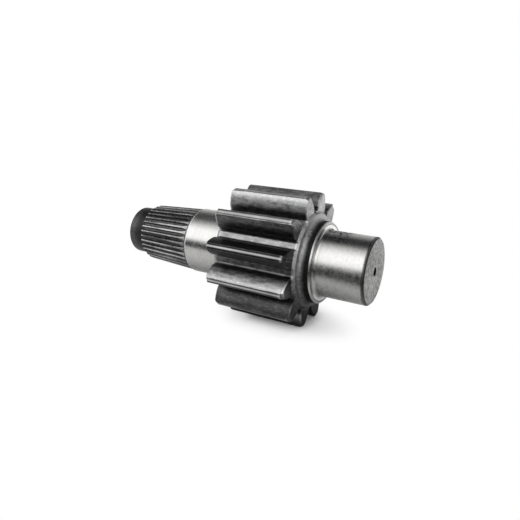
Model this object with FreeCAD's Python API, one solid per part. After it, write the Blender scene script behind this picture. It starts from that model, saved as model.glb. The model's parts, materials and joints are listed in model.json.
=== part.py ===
"""Pinion shaft: a twelve-tooth spur pinion cut on a shaft with two bearing journals and a taper spline.

The shaft lies along X with the splined end towards -X, resting on two neighbouring gear teeth.
The origin is on the floor, under the middle of the shaft's length. Millimetres and degrees.
"""
import FreeCAD, Part
import math
import os

# Gear teeth
MODULE = 10.0
TEETH = 12
PRESSURE_ANGLE = 20.0
PROFILE_SHIFT = 0.3           # modules, which just keeps twelve teeth from being undercut
ADDENDUM = 0.9                # modules
DEDENDUM = 1.25               # modules
TOOTH_LENGTH = 90.0
ROOT_FILLET = 3.0
TIP_EDGE_CHAMFER = 0.6        # along the tip, between flank and land
TIP_CORNER_RADIUS = 3.0       # where the tip turns down to the end of the tooth
FLANK_END_CHAMFER = 1.5       # where a flank meets the end of the tooth, fading out towards the root

# Bosses that stand out from both ends of the teeth
BOSS_STEP = 2.0               # from the root circle up to the boss
BOSS_LENGTH = 2.5             # also the size of the chamfer round it

# Front journal, with the collar that its bearing seats on
SHOULDER_HEIGHT = 8.5         # from the journal up to the collar
COLLAR_LENGTH = 12.0
COLLAR_CHAMFER = 1.3
COLLAR_ROOT_RADIUS = 4.0
FRONT_JOURNAL_DIAMETER = 70.0
FRONT_JOURNAL_LENGTH = 52.0
FRONT_JOURNAL_FILLET = 3.0
FRONT_END_CHAMFER = 2.0

# Rear journal
REAR_JOURNAL_DIAMETER = 75.0
REAR_JOURNAL_LENGTH = 50.0
REAR_JOURNAL_FILLET = 5.0
REAR_JOURNAL_CHAMFER = 0.5

# Taper spline behind the rear journal
SPLINE_COUNT = 36
SPLINE_LENGTH = 70.0
SPLINE_STEP = 0.7             # from the rear journal down to the spline's large end
SPLINE_TAPER = 0.1            # change of diameter for each millimetre of length
SPLINE_DEPTH = 2.2
SPLINE_SPACE_FLOOR = 1.9      # width of a space at its floor
SPLINE_FLANK_ANGLE = 30.0
SPLINE_LEAD_IN = 2.5          # length of the chamfer at the small end
SPLINE_RUN_OUT_RADIUS = 20.0  # radius of the cutter that leaves the spaces
SPLINE_RUN_OUT_MARGIN = 1.5   # plain band left before the rear journal

# Plain stub beyond the spline
STUB_STEP = 3.1               # from the floor of the spline's spaces down to the stub
STUB_LENGTH = 22.0
STUB_CHAMFER = 1.0

# Centre hole in both ends
CENTRE_PILOT_DIAMETER = 4.0
CENTRE_PILOT_LENGTH = 5.0
CENTRE_MOUTH_DIAMETER = 8.5
CENTRE_CONE_ANGLE = 60.0
CENTRE_DRILL_POINT_ANGLE = 118.0

# How far a cutter reaches past the metal it removes
CUTTER_CLEARANCE = 4.0

# How finely the curved forms are drawn, and how near two points are the same
SAME_POINT = 1e-6
FLANK_ARCS = 2                # arcs that make up the involute of one flank
ROUND_FLATS = 3               # flats that make up a rounded corner or a fillet
RUN_OUT_FLATS = 4             # flats that make up the end of a spline space

# Stations along the shaft, from the stub's end to the front end
OVERALL_LENGTH = (STUB_LENGTH + SPLINE_LENGTH + REAR_JOURNAL_LENGTH + 2*BOSS_LENGTH
                  + TOOTH_LENGTH + COLLAR_LENGTH + FRONT_JOURNAL_LENGTH)
STUB_END = -OVERALL_LENGTH/2
SPLINE_START = STUB_END + STUB_LENGTH
SPLINE_END = SPLINE_START + SPLINE_LENGTH
REAR_BOSS_FACE = SPLINE_END + REAR_JOURNAL_LENGTH
TEETH_START = REAR_BOSS_FACE + BOSS_LENGTH
TEETH_END = TEETH_START + TOOTH_LENGTH
FRONT_BOSS_FACE = TEETH_END + BOSS_LENGTH
SHOULDER = FRONT_BOSS_FACE + COLLAR_LENGTH
FRONT_END = SHOULDER + FRONT_JOURNAL_LENGTH

# Radii worked out from the sizes above
PITCH_RADIUS = MODULE*TEETH/2
TIP_RADIUS = PITCH_RADIUS + MODULE*(ADDENDUM + PROFILE_SHIFT)
BASE_RADIUS = PITCH_RADIUS*math.cos(math.radians(PRESSURE_ANGLE))
ROOT_RADIUS = PITCH_RADIUS - MODULE*(DEDENDUM - PROFILE_SHIFT)
BOSS_RADIUS = ROOT_RADIUS + BOSS_STEP
BOSS_FACE_RADIUS = BOSS_RADIUS - BOSS_LENGTH
FRONT_JOURNAL_RADIUS = FRONT_JOURNAL_DIAMETER/2
COLLAR_RADIUS = FRONT_JOURNAL_RADIUS + SHOULDER_HEIGHT
COLLAR_COVE = min(COLLAR_ROOT_RADIUS, BOSS_FACE_RADIUS - COLLAR_RADIUS)
REAR_JOURNAL_RADIUS = REAR_JOURNAL_DIAMETER/2
SPLINE_LARGE_RADIUS = REAR_JOURNAL_RADIUS - SPLINE_STEP
SPLINE_SLOPE = SPLINE_TAPER/2
SPLINE_SMALL_RADIUS = SPLINE_LARGE_RADIUS - SPLINE_SLOPE*SPLINE_LENGTH
SPLINE_FLOOR_RADIUS = SPLINE_SMALL_RADIUS - SPLINE_DEPTH
STUB_RADIUS = SPLINE_FLOOR_RADIUS - STUB_STEP

AXIS = FreeCAD.Vector(1, 0, 0)
ORIGIN = FreeCAD.Vector(0, 0, 0)


class Outline:
    """A run of straight and round edges in one plane, given two coordinates at a time."""

    def __init__(self, start, place):
        self.place = place
        self.first = start
        self.last = start
        self.edges = []

    def line_to(self, end):
        if math.dist(self.last, end) > SAME_POINT:
            self.edges.append(Part.LineSegment(self.place(*self.last), self.place(*end)).toShape())
            self.last = end

    def arc_to(self, end, centre):
        """Add the shorter arc about a centre."""
        radius = math.dist(self.last, centre)
        middle = [(a + b)/2 - c for a, b, c in zip(self.last, end, centre)]
        reach = radius/math.hypot(*middle)
        top = [c + m*reach for c, m in zip(centre, middle)]
        self.edges.append(Part.Arc(self.place(*self.last), self.place(*top), self.place(*end)).toShape())
        self.last = end

    def arcs_through(self, points):
        """Go to the first point, then on in arcs that each take two more."""
        self.line_to(points[0])
        for middle, end in zip(points[1::2], points[2::2]):
            arc = Part.Arc(self.place(*self.last), self.place(*middle), self.place(*end))
            self.edges.append(arc.toShape())
            self.last = end

    def flats_to(self, end, centre):
        """Follow the quarter circle about a centre, from one axis direction to the other, in flats."""
        start = self.last
        reach = [(a - c, b - c) for a, b, c in zip(start, end, centre)]
        for step in range(1, ROUND_FLATS):
            turn = math.pi/2*step/ROUND_FLATS
            self.line_to(tuple(c + a*math.cos(turn) + b*math.sin(turn) for (a, b), c in zip(reach, centre)))
        self.line_to(end)

    def closed_wire(self):
        self.line_to(self.first)
        return Part.Wire(self.edges)


def along_and_out(x, radius):
    """A point of the turned profile: distance along the shaft, distance from its axis."""
    return FreeCAD.Vector(x, 0, radius)


def polar(radius, angle):
    """A point of a cross-section, with the angle in radians from the top towards +Y."""
    return (radius*math.sin(angle), radius*math.cos(angle))


def centre_hole(end, inward):
    """Points of a centre hole's outline, from its mouth at a shaft end to its point on the axis."""
    mouth = CENTRE_MOUTH_DIAMETER/2
    pilot = CENTRE_PILOT_DIAMETER/2
    cone_depth = (mouth - pilot)/math.tan(math.radians(CENTRE_CONE_ANGLE/2))
    pilot_depth = cone_depth + CENTRE_PILOT_LENGTH
    point_depth = pilot_depth + pilot/math.tan(math.radians(CENTRE_DRILL_POINT_ANGLE/2))
    return [(end, mouth), (end + inward*cone_depth, pilot),
            (end + inward*pilot_depth, pilot), (end + inward*point_depth, 0)]


def turned_blank():
    """The whole shaft as it leaves the lathe, before teeth and splines are cut."""
    rear_mouth, *rear_hole = centre_hole(STUB_END, 1)
    outline = Outline(rear_hole.pop(), along_and_out)
    for point in reversed(rear_hole):
        outline.line_to(point)
    outline.line_to(rear_mouth)

    # stub
    outline.line_to((STUB_END, STUB_RADIUS - STUB_CHAMFER))
    outline.line_to((STUB_END + STUB_CHAMFER, STUB_RADIUS))
    outline.line_to((SPLINE_START, STUB_RADIUS))

    # taper for the spline, with its lead-in chamfer as deep as the spaces
    outline.line_to((SPLINE_START, SPLINE_FLOOR_RADIUS))
    outline.line_to((SPLINE_START + SPLINE_LEAD_IN, SPLINE_SMALL_RADIUS + SPLINE_SLOPE*SPLINE_LEAD_IN))
    outline.line_to((SPLINE_END, SPLINE_LARGE_RADIUS))

    # rear journal
    outline.line_to((SPLINE_END, REAR_JOURNAL_RADIUS - REAR_JOURNAL_CHAMFER))
    outline.line_to((SPLINE_END + REAR_JOURNAL_CHAMFER, REAR_JOURNAL_RADIUS))
    outline.line_to((REAR_BOSS_FACE - REAR_JOURNAL_FILLET, REAR_JOURNAL_RADIUS))
    outline.flats_to((REAR_BOSS_FACE, REAR_JOURNAL_RADIUS + REAR_JOURNAL_FILLET),
                     (REAR_BOSS_FACE - REAR_JOURNAL_FILLET, REAR_JOURNAL_RADIUS + REAR_JOURNAL_FILLET))

    # rear boss, gear blank and front boss
    outline.line_to((REAR_BOSS_FACE, BOSS_FACE_RADIUS))
    outline.line_to((TEETH_START, BOSS_RADIUS))
    outline.line_to((TEETH_START, TIP_RADIUS - TIP_CORNER_RADIUS))
    outline.flats_to((TEETH_START + TIP_CORNER_RADIUS, TIP_RADIUS),
                     (TEETH_START + TIP_CORNER_RADIUS, TIP_RADIUS - TIP_CORNER_RADIUS))
    outline.line_to((TEETH_END - TIP_CORNER_RADIUS, TIP_RADIUS))
    outline.flats_to((TEETH_END, TIP_RADIUS - TIP_CORNER_RADIUS),
                     (TEETH_END - TIP_CORNER_RADIUS, TIP_RADIUS - TIP_CORNER_RADIUS))
    outline.line_to((TEETH_END, BOSS_RADIUS))
    outline.line_to((FRONT_BOSS_FACE, BOSS_FACE_RADIUS))

    # collar
    outline.line_to((FRONT_BOSS_FACE, COLLAR_RADIUS + COLLAR_COVE))
    outline.flats_to((FRONT_BOSS_FACE + COLLAR_COVE, COLLAR_RADIUS),
                     (FRONT_BOSS_FACE + COLLAR_COVE, COLLAR_RADIUS + COLLAR_COVE))
    outline.line_to((SHOULDER - COLLAR_CHAMFER, COLLAR_RADIUS))
    outline.line_to((SHOULDER, COLLAR_RADIUS - COLLAR_CHAMFER))

    # front journal
    outline.line_to((SHOULDER, FRONT_JOURNAL_RADIUS + FRONT_JOURNAL_FILLET))
    outline.flats_to((SHOULDER + FRONT_JOURNAL_FILLET, FRONT_JOURNAL_RADIUS),
                     (SHOULDER + FRONT_JOURNAL_FILLET, FRONT_JOURNAL_RADIUS + FRONT_JOURNAL_FILLET))
    outline.line_to((FRONT_END - FRONT_END_CHAMFER, FRONT_JOURNAL_RADIUS))
    outline.line_to((FRONT_END, FRONT_JOURNAL_RADIUS - FRONT_END_CHAMFER))
    for point in centre_hole(FRONT_END, -1):
        outline.line_to(point)
    return Part.Face(outline.closed_wire()).revolve(ORIGIN, AXIS, 360)


def involute_function(angle):
    return math.tan(angle) - angle


def space_half_angle(radius):
    """Half the angle that a tooth space fills at a radius on the involute."""
    half_tooth_at_pitch = (math.pi/2 + 2*PROFILE_SHIFT*math.tan(math.radians(PRESSURE_ANGLE)))/TEETH
    half_tooth_at_base = half_tooth_at_pitch + involute_function(math.radians(PRESSURE_ANGLE))
    return math.pi/TEETH - half_tooth_at_base + involute_function(math.acos(BASE_RADIUS/radius))


def mirrored(point):
    """The same point on the other side of a space's centre line."""
    return (-point[0], point[1])


def flank_points(widening):
    """Points up one involute flank, moved out by the widening at the tip and not at all at the base."""
    top_roll = math.tan(math.acos(BASE_RADIUS/(TIP_RADIUS - TIP_EDGE_CHAMFER)))
    points = []
    for step in range(2*FLANK_ARCS + 1):
        share = step/(2*FLANK_ARCS)
        radius = BASE_RADIUS*math.hypot(1, share*top_roll)
        points.append(polar(radius, space_half_angle(radius) + share*widening/radius))
    return points


def draw_flanks(outline, widening):
    """Up one flank, out along the chamfer of its tip, across the open mouth and down the other flank."""
    flank = flank_points(widening)
    top_angle = math.atan2(*flank[-1])
    outward = polar(CUTTER_CLEARANCE, top_angle)
    sideways = polar(CUTTER_CLEARANCE, top_angle + math.pi/2)
    mouth = (flank[-1][0] + outward[0] + sideways[0], flank[-1][1] + outward[1] + sideways[1])
    outline.arcs_through(flank)
    outline.line_to(mouth)
    outline.line_to(mirrored(mouth))
    outline.arcs_through([mirrored(point) for point in reversed(flank)])


def across_shaft(x):
    """A place for cross-sections, at a distance along the shaft."""
    return lambda y, z: FreeCAD.Vector(x, y, z)


def hobbed_section(x):
    """A whole tooth space in cross-section, its centre line upwards."""
    base_angle = space_half_angle(BASE_RADIUS)
    fillet_turn = math.asin(ROOT_FILLET/(ROOT_RADIUS + ROOT_FILLET))
    fillet_angle = base_angle - fillet_turn
    fillet_centre = polar(ROOT_RADIUS + ROOT_FILLET, fillet_angle)
    fillet_foot = polar(ROOT_RADIUS, fillet_angle)
    fillet_top = polar((ROOT_RADIUS + ROOT_FILLET)*math.cos(fillet_turn), base_angle)

    outline = Outline(mirrored(fillet_foot), across_shaft(x))
    outline.arc_to(fillet_foot, (0, 0))
    outline.arc_to(fillet_top, fillet_centre)
    draw_flanks(outline, 0)
    outline.line_to(mirrored(fillet_top))
    outline.arc_to(mirrored(fillet_foot), mirrored(fillet_centre))
    return outline.closed_wire()


def flared_section(x, widening):
    """The part of a tooth space above the base circle, its flanks opened by the widening at their tips."""
    outline = Outline(flank_points(widening)[0], across_shaft(x))
    draw_flanks(outline, widening)
    return outline.closed_wire()


def tooth_space():
    """The metal that comes out between two teeth, with the flanks eased at both ends."""
    start = REAR_BOSS_FACE - CUTTER_CLEARANCE
    length = FRONT_BOSS_FACE + CUTTER_CLEARANCE - start
    space = Part.Face(hobbed_section(start)).extrude(AXIS*length)
    for end, inward in ((TEETH_START, 1), (TEETH_END, -1)):
        narrow = flared_section(end + inward*FLANK_END_CHAMFER, 0)
        wide = flared_section(end, FLANK_END_CHAMFER)
        space = space.fuse(Part.makeLoft([narrow, wide], True, True))
    return space


def spline_space():
    """One space of the spline: along the taper, then out of the metal on the cutter's radius, in flats."""
    taper_angle = math.atan(SPLINE_SLOPE)
    leave_turn = 2*math.asin(math.sqrt(SPLINE_DEPTH/SPLINE_RUN_OUT_RADIUS))
    run_out_length = math.sqrt(SPLINE_DEPTH*(2*SPLINE_RUN_OUT_RADIUS - SPLINE_DEPTH))
    lift = SPLINE_END - SPLINE_RUN_OUT_MARGIN - run_out_length

    def floor(x):
        return SPLINE_FLOOR_RADIUS + SPLINE_SLOPE*(x - SPLINE_START)

    start = SPLINE_START - CUTTER_CLEARANCE
    stations = [(start, floor(start)), (lift, floor(lift))]
    for step in range(1, RUN_OUT_FLATS + 1):
        turn = taper_angle + leave_turn*step/RUN_OUT_FLATS
        along = SPLINE_RUN_OUT_RADIUS*(math.sin(turn) - math.sin(taper_angle))
        up = SPLINE_RUN_OUT_RADIUS*(math.cos(taper_angle) - math.cos(turn))
        stations.append((lift + along, floor(lift) + up))

    half_floor = SPLINE_SPACE_FLOOR/2
    top = stations[-1][1] + CUTTER_CLEARANCE
    sections = []
    for x, height in stations:
        half_top = half_floor + (top - height)*math.tan(math.radians(SPLINE_FLANK_ANGLE))
        corners = [(-half_floor, height), (half_floor, height), (half_top, top), (-half_top, top)]
        sections.append(Part.makePolygon([FreeCAD.Vector(x, *corner) for corner in corners + corners[:1]]))
    return Part.makeLoft(sections, True, True)


def around_shaft(cutter, count):
    """Copies of a cutter spaced evenly about the axis, the first at the top."""
    copies = []
    for index in range(count):
        copy = cutter.copy()
        copy.rotate(ORIGIN, AXIS, index*360/count)
        copies.append(copy)
    return copies


def resting_height():
    """Height of the axis when two neighbouring teeth stand on the floor."""
    land_edge = space_half_angle(TIP_RADIUS - TIP_EDGE_CHAMFER) + TIP_EDGE_CHAMFER/TIP_RADIUS
    return TIP_RADIUS*math.cos(land_edge)


def pinion_shaft():
    blank = turned_blank()
    cutters = around_shaft(tooth_space(), TEETH) + around_shaft(spline_space(), SPLINE_COUNT)
    shaft = blank.cut(cutters)
    shaft.translate(FreeCAD.Vector(0, 0, resting_height()))
    return shaft.Solids[0] if len(shaft.Solids) == 1 else shaft


os.makedirs("parts", exist_ok=True)
pinion_shaft().exportStep("parts/pinion_shaft.step")
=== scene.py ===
"""Pinion shaft on a pale studio floor: one closed skin with its worn steel finishes, a stage and a camera.

The skin is drawn ring by ring along the shaft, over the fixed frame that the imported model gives.
Lengths in this file are millimetres, turned to metres where a mesh, lamp or camera takes them.
"""

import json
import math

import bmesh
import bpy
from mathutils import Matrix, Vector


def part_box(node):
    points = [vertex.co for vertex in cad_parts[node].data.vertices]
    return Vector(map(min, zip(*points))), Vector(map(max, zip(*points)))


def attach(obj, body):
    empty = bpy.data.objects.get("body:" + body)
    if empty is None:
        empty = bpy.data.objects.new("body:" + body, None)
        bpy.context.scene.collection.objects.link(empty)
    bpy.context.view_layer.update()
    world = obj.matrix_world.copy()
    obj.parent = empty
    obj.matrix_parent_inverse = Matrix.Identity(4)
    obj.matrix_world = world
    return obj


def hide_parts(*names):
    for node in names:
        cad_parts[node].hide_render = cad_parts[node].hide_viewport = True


bl_info = {
    "name": "Pinion Shaft",
    "version": (1, 0, 0),
    "blender": (4, 5, 0),
    "location": "3D View > Sidebar > Pinion",
    "description": "Skins the packed pinion shaft with worn steel and sets up its studio",
    "category": "Object",
}

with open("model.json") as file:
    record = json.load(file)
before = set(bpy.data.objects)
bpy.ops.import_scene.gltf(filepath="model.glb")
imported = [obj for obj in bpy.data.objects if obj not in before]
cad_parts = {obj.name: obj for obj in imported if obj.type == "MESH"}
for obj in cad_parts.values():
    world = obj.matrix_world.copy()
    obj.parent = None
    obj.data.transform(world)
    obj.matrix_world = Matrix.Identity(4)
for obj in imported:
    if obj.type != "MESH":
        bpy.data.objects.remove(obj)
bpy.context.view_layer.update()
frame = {"record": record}

MM = 0.001
NODE = "pinion_shaft"
MOUNTS = {mount["name"]: mount for mount in frame["record"]["mounts"]}

# Height of the axis and the shaft's two ends, from the frame
AXIS_HEIGHT = MOUNTS["front_journal"]["pos_m"][2]/MM
FRONT_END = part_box(NODE)[1].x/MM
STUB_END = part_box(NODE)[0].x/MM

# Gear teeth, as in the part
MODULE = 10.0
TEETH = 12
PRESSURE_ANGLE = math.radians(20.0)
PROFILE_SHIFT = 0.3
ADDENDUM = 0.9
DEDENDUM = 1.25
TOOTH_LENGTH = 90.0
ROOT_FILLET = 3.0
TIP_EDGE_CHAMFER = 0.6
TIP_CORNER_RADIUS = 3.0
FLANK_END_CHAMFER = 1.5

# Turned features, as in the part
BOSS_STEP = 2.0
BOSS_LENGTH = 2.5
SHOULDER_HEIGHT = 8.5
COLLAR_LENGTH = 12.0
COLLAR_CHAMFER = 1.3
COLLAR_ROOT_RADIUS = 4.0
FRONT_JOURNAL_RADIUS = MOUNTS["front_journal"]["dims"]["r_mm"]
FRONT_JOURNAL_LENGTH = 52.0
FRONT_JOURNAL_FILLET = 3.0
FRONT_END_CHAMFER = 2.0
REAR_JOURNAL_RADIUS = MOUNTS["rear_journal"]["dims"]["r_mm"]
REAR_JOURNAL_LENGTH = 50.0
REAR_JOURNAL_FILLET = 5.0
REAR_JOURNAL_CHAMFER = 0.5
STUB_RADIUS = MOUNTS["rear_stub"]["dims"]["r_mm"]
STUB_LENGTH = 22.0
STUB_CHAMFER = 1.0

# Taper spline, as in the part
SPLINE_COUNT = 36
SPLINE_STEP = 0.7
SPLINE_SLOPE = 0.05
SPLINE_DEPTH = 2.2
SPLINE_SPACE_FLOOR = 1.9
SPLINE_FLANK_ANGLE = math.radians(30.0)
SPLINE_LEAD_IN = 2.5
SPLINE_RUN_OUT_RADIUS = 20.0
SPLINE_RUN_OUT_MARGIN = 1.5

# Centre holes, as in the part
CENTRE_PILOT_RADIUS = 2.0
CENTRE_PILOT_LENGTH = 5.0
CENTRE_MOUTH_RADIUS = 4.25
CENTRE_MOUTH_ROUNDING = 0.15
CENTRE_CONE_ANGLE = math.radians(60.0)
CENTRE_DRILL_POINT_ANGLE = math.radians(118.0)

# Stations along the shaft
SPLINE_START = STUB_END + STUB_LENGTH
SHOULDER = FRONT_END - FRONT_JOURNAL_LENGTH
FRONT_BOSS_FACE = SHOULDER - COLLAR_LENGTH
TEETH_END = FRONT_BOSS_FACE - BOSS_LENGTH
TEETH_START = TEETH_END - TOOTH_LENGTH
REAR_BOSS_FACE = TEETH_START - BOSS_LENGTH
SPLINE_END = REAR_BOSS_FACE - REAR_JOURNAL_LENGTH

# Radii worked out from the sizes above
PITCH_RADIUS = MODULE*TEETH/2
TIP_RADIUS = PITCH_RADIUS + MODULE*(ADDENDUM + PROFILE_SHIFT)
BASE_RADIUS = PITCH_RADIUS*math.cos(PRESSURE_ANGLE)
ROOT_RADIUS = PITCH_RADIUS - MODULE*(DEDENDUM - PROFILE_SHIFT)
BOSS_RADIUS = ROOT_RADIUS + BOSS_STEP
COLLAR_RADIUS = FRONT_JOURNAL_RADIUS + SHOULDER_HEIGHT
SPLINE_LARGE_RADIUS = REAR_JOURNAL_RADIUS - SPLINE_STEP
SPLINE_SMALL_RADIUS = SPLINE_LARGE_RADIUS - SPLINE_SLOPE*(SPLINE_END - SPLINE_START)
SPLINE_FLOOR_RADIUS = SPLINE_SMALL_RADIUS - SPLINE_DEPTH

# Run-out of the spline's spaces: from where the cutter lifts to where it has left the metal
RUN_OUT_LENGTH = math.sqrt(SPLINE_DEPTH*(2*SPLINE_RUN_OUT_RADIUS - SPLINE_DEPTH))
BAND_START = SPLINE_END - SPLINE_RUN_OUT_MARGIN
RUN_OUT_START = BAND_START - RUN_OUT_LENGTH

# Steps round half a tooth, with one more at the flank's foot and two over the tip edge
ROOT_STEPS = 2
FILLET_STEPS = 4
FLANK_STEPS = 5
CORNER_STEPS = 6                   # over the part of the flank that the tooth's corners round off
LAND_STEPS = 4
HALF_TOOTH_STEPS = ROOT_STEPS + FILLET_STEPS + 1 + FLANK_STEPS + CORNER_STEPS + 2 + LAND_STEPS
AROUND = 2*HALF_TOOTH_STEPS*TEETH  # points in every ring, which is 16 for each spline space
FLANK_SPACING = 1.5                # above 1, the flank's points lie closer at its foot
TIP_EDGE_BULGE = 0.35              # the point that rounds the tip edge, as a share of its chamfer

# Rings along the shaft
GEAR_STATIONS = (0.04, 0.5, 0.96)  # rings of full teeth, as shares of the tooth length
TOOTH_END_STEPS = 12
LEAD_IN_STEPS = 5
RIDGE_STEPS = 5
RUN_OUT_STEPS = 12
LEAD_IN_EDGE = 0.3                 # the next ring lies this far past the lead-in
BAND_EDGE = 0.2                    # and this far into the plain band
EDGE_STEPS = 3
COLLAR_EDGE_STEPS = 4
FRONT_FILLET_STEPS = 8
BOSS_FILLET_STEPS = 10
BOSS_RIM = (0.1, 0.6)              # rings close to a boss face, as shares of the turned edge

# Height marks, by which the finishes tell the parts of a tooth or ridge: a root is -1 to 0, a flank 0 to
# FLANK_MARK, an edge EDGE_MARK, and a land or the top of a ridge LAND_MARK or less
FLANK_MARK = 0.15
EDGE_MARK = 1.0
LAND_MARK = 0.9
LAND_FALL = 0.1                    # how much less with each step towards the middle of a land
RIDGE_TOP_MARK = 0.85
BAND_MARK = 0.6                    # the plain band after the spline
RIDGE_FLANK = ((0.45, 0.1), (0.8, 0.35))   # points on a ridge's flank: share of its depth, height mark
RIDGE_EDGE = (0.1, 0.9)            # points on a ridge's broken edge, as shares of its width

# How worn an edge is, from 0 to 1. An edge of a tooth or ridge is worn in full wherever it runs
FULL_WEAR = 1.0
LEAD_IN_WEAR = 0.8
END_FACE_WEAR = 0.3
END_CHAMFER_WEAR = 0.9
CORNER_WEAR = 0.25
WORN_ROUNDING = 1.0                # turned roundings under this are worn edges, and larger ones fillets

MERGE_DISTANCE = 0.0005
SMOOTH_ANGLE = math.radians(38)    # faces that meet at less are shaded as one

# Marks of use on the gear, with turns from the top towards the camera. A pair says where a mark begins
# to change and where that is done
RUB_ZONES = 5.0                                      # rubbed zones round the gear
RUB_TURN = math.radians(22)                          # middle of the zone nearest the top
WINDOW_LIT_TURNS = (math.radians(62), math.radians(71))   # end of the upper teeth, painted lighter where the window lights them
UNDER_SHADE_TURNS = (math.radians(92), math.radians(100))  # end of the flanks that follow them, painted black as shade
GLEAM_TURN = math.radians(94.5)                      # a faint bright line along one root
GLEAM_FADE = (0.010, 0.032)
FRONT_FLANK_HIGHLIGHT = (TEETH_END - 20, TEETH_END - 2)          # in the rubbed zones, a painted highlight on the flanks towards the front
LINE_END = (TEETH_END - 4, TEETH_END - 3)            # end of the bright line along a land, partly rubbed and partly a painted highlight
BAR_START = (TEETH_END - 6, TEETH_END - 4)           # a short bar across that end, a painted highlight
BAR_END = (TEETH_END - 3, TEETH_END - 2)
TEETH_SHADE = (-67, -54)                             # heights over the axis: below, painted shade turns the teeth black
ENDS_SHADE = (-38, -26)                              # and the tooth ends too
BOSS_EDGE = (BOSS_RADIUS, BOSS_RADIUS + 1.5)         # the bosses are duller than the tooth ends
COLLAR_SCALE = (FRONT_BOSS_FACE + 0.5, FRONT_BOSS_FACE + 7.0)

# Marks of use on the rest of the shaft, told in the same way
JOURNAL_FACE = (FRONT_JOURNAL_RADIUS + 0.5, FRONT_JOURNAL_RADIUS + 1.5)
STAIN_TURNS = (0.4, 0.7)                             # stains keep to the front journal's top
STAIN_REACH = (SHOULDER + 10, SHOULDER + 34)         # and to its gear side
LIP_HIGHLIGHT = (SPLINE_END + 0.9, SPLINE_END + 1.8)           # painted highlight: a bright edge where the rear journal starts
DARK_BAND_TURN = math.radians(27)                       # painted reflection: a dark band along the front journal
DARK_BAND_FADE = (0.03, 0.28)
SHOULDER_LINE = COLLAR_RADIUS - COLLAR_CHAMFER - 1.2   # radius of a dark line on the shoulder
SHOULDER_FADE = (0.6, 1.3)
SHOULDER_FACE = (SHOULDER - 0.4, SHOULDER - 0.1)
RIM = (FRONT_END - FRONT_END_CHAMFER - 1.4, FRONT_END - FRONT_END_CHAMFER - 0.6)
NICK_TURN = math.radians(-4)                         # a small dark nick on the front journal's end edge
NICK_FADE = (0.03, 0.07)
NICK_LENGTH = (FRONT_END - 5, FRONT_END - 4)
MOUTH_SHADE = (CENTRE_MOUTH_RADIUS + 0.4, CENTRE_MOUTH_RADIUS + 1.1)
HOLE_SHADE = (CENTRE_MOUTH_RADIUS, CENTRE_MOUTH_RADIUS + 0.3)
STUB_DARKENING = (STUB_END + 2, SPLINE_START - 6)              # the stub is blacker towards the spline
LEAD_IN_RUB = (SPLINE_START + 2.5, SPLINE_START + 4.5)   # end of the bright start of the ridges

# Patterns in the steel: cells to the metre, and the scale along each axis where they are drawn out
GRAIN_SCALE = 750
MOTTLE_SCALE = 300
CLOUD_SCALE = 38
GRINDING_SCALE = 1500
GRINDING_STRETCH = (1.0, 0.012, 0.012)
TEETH_STRETCH = (0.4, 1.0, 1.0)
RIDGE_SCALE = 150
RIDGE_STRETCH = (0.12, 1.0, 1.0)
BUMP_DEPTH = 0.1

# Finishes, by the order of the skin's material slots
GROUND, CUT, SCALED, FACED, BLACK, SPLINE = range(6)


class PinionSizes(bpy.types.PropertyGroup):
    """Small radii that the finished skin has and the plain solid leaves sharp."""

    turned_edge: bpy.props.FloatProperty(
        name="Turned edge", description="Radius broken on the edges left by the lathe",
        default=0.35*MM, min=0.05*MM, max=0.6*MM, subtype="DISTANCE", unit="LENGTH", precision=5)
    spline_edge: bpy.props.FloatProperty(
        name="Spline edge", description="Width broken on the edges of the spline's ridges",
        default=0.22*MM, min=0.05*MM, max=0.5*MM, subtype="DISTANCE", unit="LENGTH", precision=5)


class PinionColours(bpy.types.PropertyGroup):
    """Colours of the bare and the darkened steel."""

    ground: bpy.props.FloatVectorProperty(
        name="Ground steel", description="Journals and collar, straight from the grinder",
        default=(0.60, 0.595, 0.585), min=0, max=1, size=3, subtype="COLOR")
    satin: bpy.props.FloatVectorProperty(
        name="Satin steel", description="Tooth flanks where use has rubbed them",
        default=(0.36, 0.36, 0.362), min=0, max=1, size=3, subtype="COLOR")
    dark: bpy.props.FloatVectorProperty(
        name="Darkened steel", description="Heat scale that stays in roots, grooves and on ends",
        default=(0.045, 0.0455, 0.047), min=0, max=1, size=3, subtype="COLOR")
    worn: bpy.props.FloatVectorProperty(
        name="Worn edges", description="Bare metal along edges, lands and ridges",
        default=(0.66, 0.66, 0.665), min=0, max=1, size=3, subtype="COLOR")


class StudioSettings(bpy.types.PropertyGroup):
    """Brightness of the stage."""

    sky_power: bpy.props.FloatProperty(
        name="Sky power", description="Strength of the broad light over the floor",
        default=4.2, min=0, max=50)
    floor_white: bpy.props.FloatProperty(
        name="Floor white", description="How far the floor is lifted to plain white",
        default=0.38, min=0, max=1, subtype="FACTOR")


# Outlines of the rings: lists of (radius, angle from the top towards +Y, height mark)

def circle(radius, height=0.0):
    """A round ring, all at one height mark."""
    return [(radius, 2*math.pi*index/AROUND, height) for index in range(AROUND)]


def repeated(half, count):
    """A whole ring from the points of half a space, which run from its centre line to the next tooth's."""
    steps = len(half) - 1
    pitch = 2*math.pi/count
    ring = []
    for index in range(AROUND):
        number, place = divmod(index, 2*steps)
        radius, angle, height = half[place] if place <= steps else half[2*steps - place]
        turn = number*pitch + (angle if place <= steps else pitch - angle)
        ring.append((radius, turn, height))
    return ring


def involute_function(angle):
    """The angle that an involute has turned where its pressure angle is the one given."""
    return math.tan(angle) - angle


def space_half_angle(radius):
    """Half the angle that a tooth space fills at a radius on the involute."""
    half_tooth_at_pitch = (math.pi/2 + 2*PROFILE_SHIFT*math.tan(PRESSURE_ANGLE))/TEETH
    half_tooth_at_base = half_tooth_at_pitch + involute_function(PRESSURE_ANGLE)
    return math.pi/TEETH - half_tooth_at_base + involute_function(math.acos(BASE_RADIUS/radius))


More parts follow.
